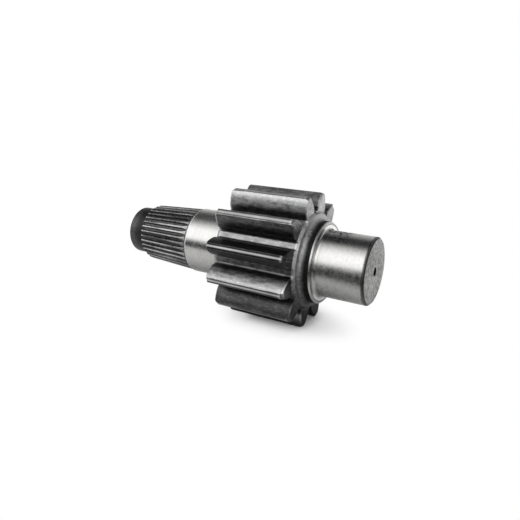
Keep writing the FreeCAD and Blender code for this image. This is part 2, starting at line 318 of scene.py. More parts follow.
def tooth_half(widening=0.0):
    """Half a tooth space: root, fillet, radial flank, involute, rounded tip edge and land."""
    base_angle = space_half_angle(BASE_RADIUS)
    fillet_turn = math.asin(ROOT_FILLET/(ROOT_RADIUS + ROOT_FILLET))
    foot_angle = base_angle - fillet_turn
    centre = Vector((math.sin(foot_angle), math.cos(foot_angle)))*(ROOT_RADIUS + ROOT_FILLET)
    half = [(ROOT_RADIUS, foot_angle*step/ROOT_STEPS, -1.0) for step in range(ROOT_STEPS + 1)]

    sweep = math.pi/2 - fillet_turn
    for step in range(1, FILLET_STEPS + 1):
        turn = math.pi + foot_angle - sweep*step/FILLET_STEPS
        point = centre + Vector((math.sin(turn), math.cos(turn)))*ROOT_FILLET
        half.append((point.length, math.atan2(point.x, point.y), step/FILLET_STEPS - 1))
    half.append((BASE_RADIUS, base_angle, 0.0))

    flank_top = TIP_RADIUS - TIP_EDGE_CHAMFER
    middle = flank_top - 2*TIP_CORNER_RADIUS
    radii = [BASE_RADIUS + (middle - BASE_RADIUS)*(step/FLANK_STEPS)**FLANK_SPACING
             for step in range(1, FLANK_STEPS + 1)]
    radii += [middle + (flank_top - middle)*step/CORNER_STEPS for step in range(1, CORNER_STEPS + 1)]
    for radius in radii:
        share = (radius - BASE_RADIUS)/(flank_top - BASE_RADIUS)
        half.append((radius, space_half_angle(radius) + share*widening/radius, FLANK_MARK*share))

    flank_end = half[-1][1]
    bulge = TIP_EDGE_BULGE*TIP_EDGE_CHAMFER
    land_edge = flank_end + TIP_EDGE_CHAMFER/TIP_RADIUS
    half.append((TIP_RADIUS - bulge, flank_end + bulge/TIP_RADIUS, EDGE_MARK))
    half.append((TIP_RADIUS, land_edge, EDGE_MARK))
    half_land = math.pi/TEETH - land_edge
    for step in range(1, LAND_STEPS + 1):
        half.append((TIP_RADIUS, land_edge + half_land*step/LAND_STEPS, LAND_MARK - LAND_FALL*step))
    return half


def gear_ring(limit, widening=0.0):
    """The gear's outline where the turned blank reaches the limit."""
    return [(min(radius, limit), angle, height) for radius, angle, height in
            repeated(tooth_half(widening), TEETH)]


def spline_ring(outer, floor, edge):
    """The spline's outline between an outer radius and the flat floor of its spaces.

    Half a space has 9 points, so that the ring has as many as every other one.
    """
    depth = max(outer - floor, 0.0)
    corner = SPLINE_SPACE_FLOOR/2
    top = corner + depth*math.tan(SPLINE_FLANK_ANGLE)
    soft = min(edge, depth/2)
    points = [(0.0, floor, 0.0), (corner/2, floor, 0.0), (corner, floor, 0.0)]
    for share, height in RIDGE_FLANK:
        points.append((corner + (top - corner)*share, floor + depth*share, height))
    for share in RIDGE_EDGE:
        points.append((top + soft*share, math.sqrt(outer**2 - top**2) - soft*(1 - share), EDGE_MARK))
    half = [(min(math.hypot(y, z), outer), math.atan2(y, z), height) for y, z, height in points]
    middle = math.pi/SPLINE_COUNT
    half.append((outer, (half[-1][1] + middle)/2, LAND_MARK))
    half.append((outer, middle, RIDGE_TOP_MARK))
    return repeated(half, SPLINE_COUNT)


def spline_floor(x):
    """Radius of the floor of the spline's spaces, which leaves the metal on the cutter's radius."""
    floor = SPLINE_FLOOR_RADIUS + SPLINE_SLOPE*(x - SPLINE_START)
    if x <= RUN_OUT_START:
        return floor
    return floor + SPLINE_RUN_OUT_RADIUS - math.sqrt(SPLINE_RUN_OUT_RADIUS**2 - (x - RUN_OUT_START)**2)


class Skin:
    """A mesh drawn ring by ring along the shaft, each ring extruded from the one before."""

    def __init__(self, name):
        bpy.ops.object.select_all(action="DESELECT")
        bpy.ops.mesh.primitive_circle_add(vertices=AROUND, radius=MM, fill_type="NOTHING")
        self.piece = bpy.context.object
        self.piece.name = name
        self.piece.data.name = name
        self.piece.location = (0, 0, 0)
        bpy.ops.object.mode_set(mode="EDIT")
        bpy.ops.mesh.select_all(action="SELECT")
        self.mesh = bmesh.from_edit_mesh(self.piece.data)
        self.index = self.mesh.verts.layers.int.new("around")
        self.wear = self.mesh.verts.layers.float.new("wear")
        self.height = self.mesh.verts.layers.float.new("height")
        self.mesh.verts.ensure_lookup_table()
        for number, vertex in enumerate(self.mesh.verts):
            vertex[self.index] = number
        self.empty = True

    def ring(self, x, outline, finish, wear=0.0):
        """Add a ring at a place along the shaft. The finish is that of the faces behind it."""
        if not self.empty:
            bpy.ops.mesh.extrude_edges_move()
        self.mesh.verts.ensure_lookup_table()
        for vertex in self.mesh.verts[-AROUND:]:
            radius, angle, height = outline[vertex[self.index]]
            across = radius*math.sin(angle)
            up = radius*math.cos(angle)
            vertex.co = Vector((x, across, AXIS_HEIGHT + up))*MM
            vertex[self.wear] = FULL_WEAR if height == EDGE_MARK else wear
            vertex[self.height] = height
        if not self.empty:
            self.mesh.faces.ensure_lookup_table()
            for face in self.mesh.faces[-AROUND:]:
                face.material_index = finish
        self.empty = False

    def turned(self, corners, bright=None):
        """Rings through the corners of a turned profile: each is (x, radius, rounding, steps, finish).

        A rounding is an arc in so many steps. A corner without one is a single ring, which is worn if
        its number is the one given as bright.
        """
        for number, (x, radius, rounding, steps, finish) in enumerate(corners):
            if rounding == 0 or number in (0, len(corners) - 1):
                self.ring(x, circle(radius), finish, FULL_WEAR if number == bright else 0.0)
                continue
            here = Vector((x, radius))
            back = (Vector(corners[number - 1][:2]) - here).normalized()
            ahead = (Vector(corners[number + 1][:2]) - here).normalized()
            half = back.angle(ahead)/2
            reach = rounding/math.tan(half)
            centre = here + (back + ahead).normalized()*(rounding/math.sin(half))
            start = here + back*reach - centre
            stop = here + ahead*reach - centre
            sweep = start.angle(stop)
            for step in range(steps + 1):
                share = step/steps
                arm = (start*math.sin((1 - share)*sweep) + stop*math.sin(share*sweep))/math.sin(sweep)
                point = centre + arm
                wear = FULL_WEAR if rounding < WORN_ROUNDING and 0 < step < steps else 0.0
                behind = finish if step <= steps/2 else corners[number + 1][4]
                self.ring(point.x, circle(point.y), behind, wear)

    def finished(self):
        """Close the poles, turn the faces outwards and shade the skin."""
        bpy.ops.mesh.select_all(action="SELECT")
        bpy.ops.mesh.remove_doubles(threshold=MERGE_DISTANCE*MM)
        bpy.ops.mesh.normals_make_consistent(inside=False)
        bpy.ops.object.mode_set(mode="OBJECT")
        bpy.ops.object.shade_smooth_by_angle(angle=SMOOTH_ANGLE)
        modifier = self.piece.modifiers.new("Flat faces", "WEIGHTED_NORMAL")
        modifier.keep_sharp = True
        bpy.ops.object.modifier_apply(modifier=modifier.name)
        return self.piece


def centre_hole(end, inward):
    """Corners of a centre hole's profile, from its point on the axis to its mouth at a shaft end."""
    cone_depth = (CENTRE_MOUTH_RADIUS - CENTRE_PILOT_RADIUS)/math.tan(CENTRE_CONE_ANGLE/2)
    pilot_depth = cone_depth + CENTRE_PILOT_LENGTH
    point_depth = pilot_depth + CENTRE_PILOT_RADIUS/math.tan(CENTRE_DRILL_POINT_ANGLE/2)
    return [(end + inward*point_depth, 0.0, 0, 0, BLACK),
            (end + inward*pilot_depth, CENTRE_PILOT_RADIUS, 0, 0, BLACK),
            (end + inward*cone_depth, CENTRE_PILOT_RADIUS, 0, 0, BLACK),
            (end, CENTRE_MOUTH_RADIUS, CENTRE_MOUTH_ROUNDING, EDGE_STEPS, BLACK)]


def draw_stub(skin, edge):
    """Rear centre hole, end face and plain stub, down to the floor of the spline's spaces."""
    skin.turned(centre_hole(STUB_END, 1) + [
        (STUB_END, STUB_RADIUS - STUB_CHAMFER, edge, EDGE_STEPS, BLACK),
        (STUB_END + STUB_CHAMFER, STUB_RADIUS, edge, EDGE_STEPS, BLACK),
        (SPLINE_START, STUB_RADIUS, edge, EDGE_STEPS, BLACK),
        (SPLINE_START, SPLINE_FLOOR_RADIUS - edge, 0, 0, BLACK)])


def draw_spline(skin, edge):
    """Lead-in, ridges and spaces, the run-out of the spaces and the plain band after it."""
    lead_end = SPLINE_START + SPLINE_LEAD_IN
    lead_slope = (SPLINE_SMALL_RADIUS + SPLINE_SLOPE*SPLINE_LEAD_IN - SPLINE_FLOOR_RADIUS)/SPLINE_LEAD_IN
    for step in range(LEAD_IN_STEPS + 1):
        x = SPLINE_START + SPLINE_LEAD_IN*step/LEAD_IN_STEPS
        outer = SPLINE_FLOOR_RADIUS + lead_slope*(x - SPLINE_START)
        shaped = spline_ring(SPLINE_SMALL_RADIUS + SPLINE_SLOPE*(x - SPLINE_START), spline_floor(x), edge)
        ring = [(min(radius, outer), angle, height) for radius, angle, height in shaped]
        skin.ring(x, ring, SPLINE, LEAD_IN_WEAR)

    stations = [lead_end + LEAD_IN_EDGE]
    for step in range(1, RIDGE_STEPS + 1):
        stations.append(lead_end + (RUN_OUT_START - lead_end)*step/RIDGE_STEPS)
    for step in range(1, RUN_OUT_STEPS + 1):
        stations.append(RUN_OUT_START + RUN_OUT_LENGTH*math.sin(math.pi/2*step/RUN_OUT_STEPS))
    for x in stations:
        outer = SPLINE_LARGE_RADIUS - SPLINE_SLOPE*(SPLINE_END - x)
        skin.ring(x, spline_ring(outer, spline_floor(x), edge), SPLINE)
    band_radius = SPLINE_LARGE_RADIUS - SPLINE_SLOPE*SPLINE_RUN_OUT_MARGIN
    skin.ring(BAND_START + BAND_EDGE, circle(band_radius, BAND_MARK), SPLINE)
    skin.ring(SPLINE_END, circle(SPLINE_LARGE_RADIUS, BAND_MARK), SPLINE)


def draw_rear_journal(skin, edge):
    """Step up from the spline, with a bright edge, then the journal and its fillet to the boss."""
    skin.turned([
        (SPLINE_END, SPLINE_LARGE_RADIUS, 0, 0, GROUND),
        (SPLINE_END, REAR_JOURNAL_RADIUS - REAR_JOURNAL_CHAMFER, 0, 0, GROUND),
        (SPLINE_END + REAR_JOURNAL_CHAMFER, REAR_JOURNAL_RADIUS, edge/2, EDGE_STEPS, GROUND),
        (REAR_BOSS_FACE, REAR_JOURNAL_RADIUS, REAR_JOURNAL_FILLET, BOSS_FILLET_STEPS, GROUND),
        (REAR_BOSS_FACE, BOSS_RADIUS - BOSS_LENGTH - edge, 0, 0, SCALED)], bright=1)


def tooth_end(boss_face, teeth_end, inward, edge):
    """Rings from a boss face over its chamfer and the tooth ends to full teeth.

    Each is (x, limit on the radius, widening of the spaces, finish, wear).
    """
    foot = BOSS_RADIUS - BOSS_LENGTH
    first, second = (share*edge for share in BOSS_RIM)
    rings = [(boss_face, foot - edge, 0.0, SCALED, 0.0)]
    for along in (first, second, BOSS_LENGTH/2, BOSS_LENGTH):
        rings.append((boss_face + inward*along, foot + along - first, 0.0, SCALED, 0.0))
    corner = TIP_CORNER_RADIUS
    flare = FLANK_END_CHAMFER
    rings.append((teeth_end, TIP_RADIUS - corner, flare, SCALED, END_FACE_WEAR))
    for step in range(1, TOOTH_END_STEPS + 1):
        turn = math.pi/2*step/TOOTH_END_STEPS
        deep = corner*(1 - math.cos(turn))
        limit = TIP_RADIUS - corner*(1 - math.sin(turn))
        widening = flare*(1 - math.sqrt(1 - (1 - deep/flare)**2)) if deep < flare else 0.0
        wear = END_CHAMFER_WEAR if deep < flare else CORNER_WEAR
        rings.append((teeth_end + inward*deep, limit, widening, CUT, wear))
    return rings


def draw_gear(skin, edge):
    """Both bosses and the teeth.

    The front end is the rear one turned round, so each of its rings takes the finish of the one before.
    """
    for x, limit, widening, finish, wear in tooth_end(REAR_BOSS_FACE, TEETH_START, 1, edge):
        skin.ring(x, gear_ring(limit, widening), finish, wear)
    for share in GEAR_STATIONS:
        skin.ring(TEETH_START + TOOTH_LENGTH*share, gear_ring(TIP_RADIUS), CUT)
    finish = CUT
    for x, limit, widening, next_finish, wear in reversed(tooth_end(FRONT_BOSS_FACE, TEETH_END, -1, edge)):
        skin.ring(x, gear_ring(limit, widening), finish, wear)
        finish = next_finish


def draw_front(skin, edge):
    """Front boss face, collar, journal and end with its centre hole."""
    mouth, *inside = reversed(centre_hole(FRONT_END, -1))
    skin.turned([
        (FRONT_BOSS_FACE, BOSS_RADIUS - BOSS_LENGTH - edge, 0, 0, SCALED),
        (FRONT_BOSS_FACE, COLLAR_RADIUS, COLLAR_ROOT_RADIUS, BOSS_FILLET_STEPS, SCALED),
        (SHOULDER - COLLAR_CHAMFER, COLLAR_RADIUS, edge, EDGE_STEPS, SCALED),
        (SHOULDER, COLLAR_RADIUS - COLLAR_CHAMFER, 2*edge, COLLAR_EDGE_STEPS, GROUND),
        (SHOULDER, FRONT_JOURNAL_RADIUS, FRONT_JOURNAL_FILLET, FRONT_FILLET_STEPS, GROUND),
        (FRONT_END - FRONT_END_CHAMFER, FRONT_JOURNAL_RADIUS, edge, EDGE_STEPS, GROUND),
        (FRONT_END, FRONT_JOURNAL_RADIUS - FRONT_END_CHAMFER, edge, EDGE_STEPS, BLACK),
        (*mouth[:4], FACED), *inside])


class Value:
    """A shader socket that takes part in Python arithmetic."""

    def __init__(self, finish, socket):
        self.finish = finish
        self.socket = socket

    def combine(self, operation, *others, turned=False):
        """A Math node on this value and others, last one first if turned."""
        values = [self, *others]
        if turned:
            values.reverse()
        return self.finish.add("ShaderNodeMath", {"operation": operation}, dict(enumerate(values)))

    def __add__(self, other):
        return self.combine("ADD", other)

    def __sub__(self, other):
        return self.combine("SUBTRACT", other)

    def __rsub__(self, other):
        return self.combine("SUBTRACT", other, turned=True)

    def __mul__(self, other):
        return self.combine("MULTIPLY", other)

    def __truediv__(self, other):
        return self.combine("DIVIDE", other)

    __radd__ = __add__
    __rmul__ = __mul__

    def clamped(self):
        """Held between 0 and 1."""
        return self.combine("MAXIMUM", 0.0).combine("MINIMUM", 1.0)

    def rising(self, low, high):
        """0 up to the low value, 1 from the high one, smooth between."""
        return self.finish.add("ShaderNodeMapRange", {"interpolation_type": "SMOOTHSTEP"},
                               {"Value": self, "From Min": low, "From Max": high})

    def falling(self, low, high):
        """1 up to the low value, 0 from the high one, smooth between."""
        return 1.0 - self.rising(low, high)

    def near(self, centre, full, gone):
        """1 within one distance of a centre, 0 past another, smooth between."""
        return (self - centre).combine("ABSOLUTE").falling(full, gone)


class Finish:
    """One procedural material, or the world, as it is written."""

    def __init__(self, owner):
        owner.use_nodes = True
        self.owner = owner
        self.tree = owner.node_tree
        self.tree.nodes.clear()

    def add(self, kind, settings=None, inputs=None, output=0):
        """Add a node: settings first, then the values or links of its sockets. Gives one output.

        The setting stops fills a colour ramp with (position, grey).
        """
        node = self.tree.nodes.new(kind)
        for name, value in (settings or {}).items():
            if name == "stops":
                self.fill_ramp(node.color_ramp.elements, value)
            else:
                setattr(node, name, value)
        for name, value in (inputs or {}).items():
            socket = node.inputs[name]
            if isinstance(value, Value):
                self.tree.links.new(value.socket, socket)
            else:
                socket.default_value = value
        return Value(self, node.outputs[output]) if node.outputs else node

    def part_of(self, vector, number):
        """One of a vector's three parts."""
        return self.add("ShaderNodeSeparateXYZ", None, {0: vector}, output=number)

    @staticmethod
    def fill_ramp(elements, stops):
        """Give a new colour ramp, which has two stops, the ones wanted."""
        while len(elements) < len(stops):
            elements.new(0.5)
        for element, (position, grey) in zip(elements, stops):
            element.position = position
            element.color = (grey, grey, grey, 1)

    def colour(self, factor, low, high):
        """From one colour to another."""
        inputs = {0: factor, 6: self.rgba(low), 7: self.rgba(high)}
        return self.add("ShaderNodeMix", {"data_type": "RGBA"}, inputs, output=2)

    @staticmethod
    def rgba(colour):
        """A colour as a socket takes it."""
        return colour if isinstance(colour, Value) else (*colour, 1.0)

    def stretched(self, place, factors):
        """A place scaled by a factor along each axis."""
        return self.add("ShaderNodeVectorMath", {"operation": "MULTIPLY"}, {0: place, 1: factors})

    def noise(self, place, scale, detail, roughness=0.55):
        """Soft noise from 0 to 1, which seldom leaves 0.3 to 0.7."""
        return self.add("ShaderNodeTexNoise", {"noise_dimensions": "3D"},
                        {"Vector": place, "Scale": scale, "Detail": detail, "Roughness": roughness})


class Steel(Finish):
    """The places and patterns that every finish of the shaft shares.

    Mottling can be drawn out by a scale along each axis.
    """

    def __init__(self, name, drawn_out=(1.0, 1.0, 1.0)):
        super().__init__(bpy.data.materials.new(name))
        coordinates = self.add("ShaderNodeTexCoord", output=3)
        self.place = self.add("ShaderNodeMapping", {"vector_type": "POINT"},
                              {"Vector": coordinates, "Location": (0, 0, -AXIS_HEIGHT*MM)})
        self.wear = self.add("ShaderNodeAttribute", {"attribute_name": "wear"}, output=2)
        self.height = self.add("ShaderNodeAttribute", {"attribute_name": "height"}, output=2)
        self.along = self.part_of(self.place, 0)/MM
        self.up = self.part_of(self.place, 2)/MM
        across = self.part_of(self.place, 1)/MM
        self.radius = (across*across + self.up*self.up).combine("SQRT")
        self.turn = (across*-1.0).combine("ARCTAN2", self.up)
        self.grain = self.noise(self.place, GRAIN_SCALE, 2.0)
        mottled = self.noise(self.stretched(self.place, drawn_out), MOTTLE_SCALE, 5.0, 0.68)
        self.mottle = mottled.rising(0.32, 0.68)
        self.cloud = self.noise(self.place, CLOUD_SCALE, 4.0, 0.6)
        self.rings = self.noise(self.stretched(self.place, GRINDING_STRETCH), GRINDING_SCALE, 2.0)

    def surface(self, colour, roughness, bump_height, bump_strength):
        """Join colour, roughness and bump in a metal shader, and give the material."""
        bump = self.add("ShaderNodeBump", None,
                        {"Height": bump_height, "Strength": bump_strength, "Distance": BUMP_DEPTH*MM})
        shader = self.add("ShaderNodeBsdfPrincipled", None,
                          {"Base Color": colour, "Roughness": roughness, "Metallic": 1.0, "Normal": bump})
        self.add("ShaderNodeOutputMaterial", None, {"Surface": shader})
        return self.owner


def shade(colour, factor):
    """A colour made darker or lighter by a factor."""
    return [factor*part for part in colour]


def ground_steel(colours):
    """Journals: fine grinding lines round the shaft, stains and dark marks at the front, a painted dark
    reflection band along the front journal, and a painted highlight at the rear journal's lip.
    """
    steel = Steel("ground_steel")
    front = steel.along.rising(0.0, SHOULDER)
    near_gear = front*steel.along.falling(*STAIN_REACH)
    cylinder = steel.radius.falling(*JOURNAL_FACE)
    high = near_gear*cylinder*steel.turn.falling(*STAIN_TURNS)
    patches = steel.cloud.rising(0.40, 0.54)*steel.mottle.rising(0.35, 0.65)
    stain = patches*(0.12 - front*0.10 + high)
    tone = (0.55 + steel.rings*0.3 + steel.mottle*0.24 - stain).clamped()
    colour = steel.colour(tone, shade(colours.ground, 0.25), colours.ground)
    # Painted highlight: a bright lip where the rear journal starts, added to the worn edges
    painted_lip_highlight = steel.along.falling(*LIP_HIGHLIGHT)
    colour = steel.colour((steel.wear*0.9 + painted_lip_highlight*0.9).clamped(), colour, colours.worn)

    # Painted reflection: a dark band along the front journal's cylinder, mixed in with the real stains and
    # dark marks below
    painted_dark_band = cylinder*steel.turn.near(DARK_BAND_TURN, *DARK_BAND_FADE)
    corner = steel.radius.near(SHOULDER_LINE, *SHOULDER_FADE)*steel.along.rising(*SHOULDER_FACE)
    rim = steel.along.rising(*RIM)
    nick = steel.turn.near(NICK_TURN, *NICK_FADE)*steel.along.rising(*NICK_LENGTH)
    smudge = high*(0.1 + patches*0.9)
    marks_and_painted_band = front*painted_dark_band*(0.45 + steel.mottle*0.5) + smudge + corner*0.85 + rim*0.75 + nick
    colour = steel.colour(marks_and_painted_band.clamped(), colour, shade(colours.dark, 1.5))
    roughness = 0.14 + front*0.08 + steel.rings*0.08 + steel.mottle*0.08 + stain*0.25 + painted_lip_highlight*0.5
    return steel.surface(colour, roughness, steel.rings*0.4 + steel.mottle*0.5, 0.07)


def cut_steel(colours):
    """Teeth: rubbed satin in broad zones round the gear, dark scale between them, bright specks; painted
    light on the upper teeth, painted shade on the flanks below them and on the lowest teeth, and painted
    highlights on the lands and towards the front.
    """
    steel = Steel("cut_steel", TEETH_STRETCH)
    flank = steel.height.rising(0.0, 0.05)*steel.height.falling(0.16, 0.3)
    lit_zone = ((steel.turn - RUB_TURN)*RUB_ZONES).combine("COSINE").rising(0.3, 0.9)
    zone = lit_zone*flank
    # Painted light: the upper teeth, which face the window, are lighter on their flanks, towards their
    # tips, in their roots and along their edges
    window_lit = steel.turn.falling(*WINDOW_LIT_TURNS)
    under_shade = (1.0 - window_lit)*steel.turn.falling(*UNDER_SHADE_TURNS)
    # The rubbed zones, with a painted highlight towards the front tooth ends
    rubbed = zone*(0.45 + steel.mottle*0.6 + steel.along.rising(*FRONT_FLANK_HIGHLIGHT)*0.4)
    tipward = window_lit*flank*steel.height.rising(0.03, 0.16)*(steel.mottle*0.4 + steel.cloud*0.2)
    bared = steel.height.falling(-1.0, -0.7)*(0.10 + window_lit*0.30 + steel.mottle*(0.45 + window_lit*0.15))
    gleam = steel.turn.near(GLEAM_TURN, *GLEAM_FADE)*steel.height.falling(-0.3, -0.1)
    gleam = gleam*(0.04 + steel.cloud.rising(0.35, 0.6)*0.2)

    # Painted highlights on the lands: a bright line along each, partly rubbed metal, a short bar across
    # its end near the front, and more light on the upper teeth
    land = steel.height.rising(0.4, 0.5)
    bar = steel.along.rising(*BAR_START)*steel.along.falling(*BAR_END)
    line = steel.height.falling(0.54, 0.72 + window_lit*0.12)*steel.along.falling(*LINE_END)
    strip = land*(line*1.3 + bar*0.5 + lit_zone*(0.2 + window_lit*0.6))
    # Worn edges stay bright mostly where that painted light falls and in the rubbed zones
    kept = 0.1 + window_lit*0.9 + (1.0 - window_lit)*lit_zone*1.2
    edge = steel.wear.rising(0.6, 1.0)*(steel.cloud.rising(0.35, 0.6)*0.5 + 0.1)*kept
    edge = edge + zone*steel.height.rising(0.11, 0.15)*0.5
    specks = steel.grain.rising(0.52, 0.64)*steel.mottle.rising(0.35, 0.8)*(1.0 - under_shade*0.5)

    # Painted shade: the flanks below the upper teeth are blacker, with fewer specks
    black = steel.colour(under_shade, colours.dark, shade(colours.dark, 0.35))
    colour = steel.colour(steel.mottle*(0.8 - under_shade*0.65), black, shade(colours.satin, 0.22))
    colour = steel.colour((rubbed + tipward + bared).clamped(), colour, colours.satin)
    bright = (strip*(0.2 + steel.cloud*0.7) + edge + gleam + specks*(0.12 + zone*0.48)).clamped()
    colour = steel.colour(bright, colour, colours.worn)
    # Painted shade: the lowest teeth are darkened
    colour = steel.colour(steel.up.falling(*TEETH_SHADE)*0.9, colour, shade(colours.dark, 0.4))
    roughness = 0.34 + steel.mottle*0.14 - specks*0.12
    return steel.surface(colour, roughness, steel.grain*0.6 + steel.mottle*0.5, 0.35)


def scaled_steel(colours):
    """Tooth ends and bosses, blotchy and dull, with painted light towards the top and painted shade low
    down, and the collar, almost black but for its edge.
    """
    steel = Steel("scaled_steel")
    boss = steel.radius.falling(*BOSS_EDGE)
    # Painted light: tooth ends and bosses are lighter towards the top, and the mottled mix below carries
    # it
    lit = steel.up.rising(-10, 75)*(0.64 - boss*0.35) + boss*(0.17 + steel.up.rising(-40, 5)*0.70)
    scale = (lit*(0.3 + steel.mottle*0.8 + steel.cloud.rising(0.38, 0.62)*0.5)).clamped()
    bare = steel.colour(scale, colours.dark, shade(colours.satin, 1.25))
    collar = steel.along.rising(*COLLAR_SCALE)
    colour = steel.colour(collar*(1.0 - steel.mottle*0.05), bare, shade(colours.dark, 0.25))
    edge = (steel.wear.rising(0.3, 1.0)*(0.10 + steel.mottle*0.4 + collar*0.6)).clamped()
    colour = steel.colour(edge, colour, colours.worn)
    # Painted shade: the lowest tooth ends are darkened
    low = steel.up.falling(*ENDS_SHADE)*(1.0 - boss)
    colour = steel.colour(low*0.85, colour, shade(colours.dark, 0.3))
    roughness = 0.36 + steel.mottle*0.14 + boss*0.16
    return steel.surface(colour, roughness, steel.grain*0.5 + steel.mottle*(0.6 + boss*0.6), 0.3)


def faced_steel(colours):
    """Front end of the shaft: faced, then mottled grey all over."""
    steel = Steel("faced_steel")
    tone = (steel.mottle*1.15 + steel.cloud*1.4 - 0.96).clamped()
    colour = steel.colour(tone, shade(colours.ground, 0.13), shade(colours.ground, 0.8))
    colour = steel.colour(steel.grain.rising(0.55, 0.7)*0.35, colour, colours.worn)
    colour = steel.colour(steel.wear*0.6, colour, colours.worn)
    mouth = steel.radius.falling(*MOUTH_SHADE)
    colour = steel.colour(mouth, colour, shade(colours.dark, 0.1))
    roughness = 0.36 + steel.mottle*0.12
    return steel.surface(colour, roughness, steel.grain*0.5 + steel.mottle*0.7, 0.25)


def black_steel(colours):
    """Stub, end chamfer and centre holes: dull scale over fine turning lines."""
    steel = Steel("black_steel")
    tone = (steel.rings*1.6 + steel.mottle*0.4 - 0.6).clamped()
    colour = steel.colour(tone, shade(colours.dark, 0.6), shade(colours.dark, 3.4))
    colour = steel.colour(steel.wear*0.25, colour, colours.satin)
    darker_near_spline = steel.along.rising(*STUB_DARKENING)*steel.along.falling(0.0, 1.0)*0.8
    colour = steel.colour(darker_near_spline, colour, shade(colours.dark, 0.4))
    hole = steel.radius.falling(*HOLE_SHADE)
    colour = steel.colour(hole, colour, shade(colours.dark, 0.1))
    roughness = 0.42 + steel.mottle*0.12
    return steel.surface(colour, roughness, steel.rings*0.7 + steel.mottle*0.4, 0.25)


def spline_steel(colours):
    """Spline: dark spaces between ridges whose tops are rubbed bright, some more than others."""
    steel = Steel("spline_steel")
    ridge = steel.height.rising(0.5, 1.0)
    streaks = steel.noise(steel.stretched(steel.place, RIDGE_STRETCH), RIDGE_SCALE, 2.0)
    uneven = streaks.rising(0.38, 0.62)
    tone = (steel.mottle*0.6 + uneven*0.4).clamped()
    colour = steel.colour(tone, shade(colours.dark, 0.35), shade(colours.dark, 2.2))
    lead_in = steel.along.falling(*LEAD_IN_RUB)
    rub = (ridge*(0.08 + steel.mottle*0.3 + uneven*0.5 + lead_in)).clamped()
    colour = steel.colour(rub, colour, shade(colours.ground, 0.9))
    colour = steel.colour(steel.wear.rising(0.85, 1.0)*0.15, colour, colours.worn)
    roughness = 0.38 - ridge*0.12 + steel.mottle*0.1 + lead_in*0.4
    return steel.surface(colour, roughness, steel.grain*0.4 + steel.mottle*0.5, 0.18)


# In the order of the numbers above
FINISHES = (ground_steel, cut_steel, scaled_steel, faced_steel, black_steel, spline_steel)


class PINION_OT_skin(bpy.types.Operator):
    """Draw the skin of the whole shaft and give it its finishes"""

    bl_idname = "pinion.skin"
    bl_label = "Draw shaft"

    def execute(self, context):
        sizes = context.scene.pinion_sizes
        colours = context.scene.pinion_colours
        edge = sizes.turned_edge/MM
        skin = Skin("pinion_shaft_skin")
        draw_stub(skin, edge)
        draw_spline(skin, sizes.spline_edge/MM)
        draw_rear_journal(skin, edge)
        draw_gear(skin, edge)
        draw_front(skin, edge)
        piece = skin.finished()
        for finish in FINISHES:
            piece.data.materials.append(finish(colours))
        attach(piece, "root")
        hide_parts(NODE)
        return {"FINISHED"}


# Stage: camera, floor and lights
CAMERA_PLACE = (279.5, -465.9, 226.7)
CAMERA_AIM = (15.33, 0.0, 77.62)
CAMERA_ROLL = math.radians(1.50)
CAMERA_LENS = 34.38
CAMERA_SHIFT = (0.0052, -0.0314)
CAMERA_SENSOR = 36.0
CAMERA_NEAR = 10.0
FLOOR_SIZE = 12000.0
FLOOR_COLOUR = (0.9, 0.9, 0.9)
PAPER_EDGE = (-190.0, -110.0)      # where the lit paper fades out towards the camera
PAPER_GREY = 0.42                  # how bright the metal sees the paper
PAPER_FAR = (100.0, 330.0)         # where it grows brighter, away from the camera
PAPER_FAR_GREY = 0.95
NO_PAPER = (0.01, 0.01, 0.01)
SHADOW_REACH = (14.0, 70.0)        # how far from the teeth's line of rest the shadow fades out
SHADOW_CORE = (18.0, 46.0)         # how far from that line the shadow is at its full depth
SHADOW_LENGTH = 56.0               # how much of that line, up to the tooth ends, keeps its full shadow
CORE_ENDS = (2.5, 2.0)             # how much faster that depth fades past the line's rear and front
CORE_MARGIN = 10.0                 # how far before the tooth ends that begins
SKY_HEIGHT = 1500.0
SKY_TILT = (math.radians(-14), math.radians(-10))
SKY_WIDTH = math.radians(75)

# Brightness of the room round the shaft's axis, by degrees above the horizon on the camera's side
ROOM_START = -90
ROOM = [(ROOM_START, 0.10), (-4, 0.03), (6, 0.06), (13, 0.60), (20, 1.0), (54, 1.0), (70, 0.60),
        (84, 0.24), (98, 0.05), (124, 0.05), (136, 0.15), (150, 0.30), (170, 0.40), (200, 0.40)]
ROOM_STRENGTH = 2.0


